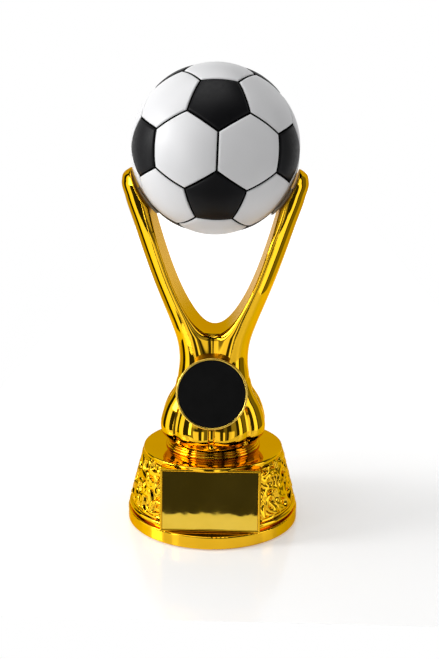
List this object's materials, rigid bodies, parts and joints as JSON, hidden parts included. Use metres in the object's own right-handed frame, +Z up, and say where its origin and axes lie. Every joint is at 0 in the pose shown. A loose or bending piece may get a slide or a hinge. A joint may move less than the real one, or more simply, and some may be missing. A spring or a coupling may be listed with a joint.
{
  "type": "football trophy",
  "caption": "Gold football trophy: a ball held in a two-armed fork on a fluted bulb, with a round emblem and a nameplate on a relief base.",
  "frame": {"origin": "centre of the underside of the felt pad, on the table", "axes": "+Z up along the rod, the nameplate and the emblem face -Y, +X to the right seen from the front"},
  "size_m": [0.0692, 0.067, 0.1756],
  "materials": {
    "gold_plating": "vacuum metallised bright gold on moulded plastic, mirror smooth",
    "relief_gold": "vacuum metallised gold over moulded scroll relief, with darker hollows",
    "plate_gold": "polished gold anodised blank plate",
    "insert_black": "satin black disc",
    "ball_white": "satin white with fine leather-like grain",
    "ball_black": "satin black with fine leather-like grain",
    "ball_core": "dark moulded plastic, seen only in the seams",
    "adhesive": "cured adhesive",
    "zinc_steel": "zinc plated steel",
    "ballast_iron": "plain cast iron",
    "cover_plastic": "black moulded plastic",
    "felt": "black wool felt"
  },
  "bodies": {
    "root": {"ball_hexagon_panels": "ball_white", "ball_pentagon_panels": "ball_black", "ball_upper_shell": "ball_core", "ball_lower_shell": "ball_core", "ball_seat_pads": "adhesive", "fork_front_shell": "gold_plating", "fork_rear_shell": "gold_plating", "fluted_bulb": "gold_plating", "collar_ring": "gold_plating", "medallion_holder": "gold_plating", "medallion_pad": "adhesive", "medallion_insert": "insert_black", "base_body": "relief_gold", "base_foot": "gold_plating", "nameplate": "plate_gold", "nameplate_adhesive": "adhesive", "threaded_rod": "zinc_steel", "fork_nut": "zinc_steel", "base_nut": "zinc_steel", "base_washer": "zinc_steel", "lock_washer": "zinc_steel", "base_weight": "ballast_iron", "bottom_cover": "cover_plastic", "cover_screws": "zinc_steel", "felt_pad": "felt"}
  },
  "joints": []
}
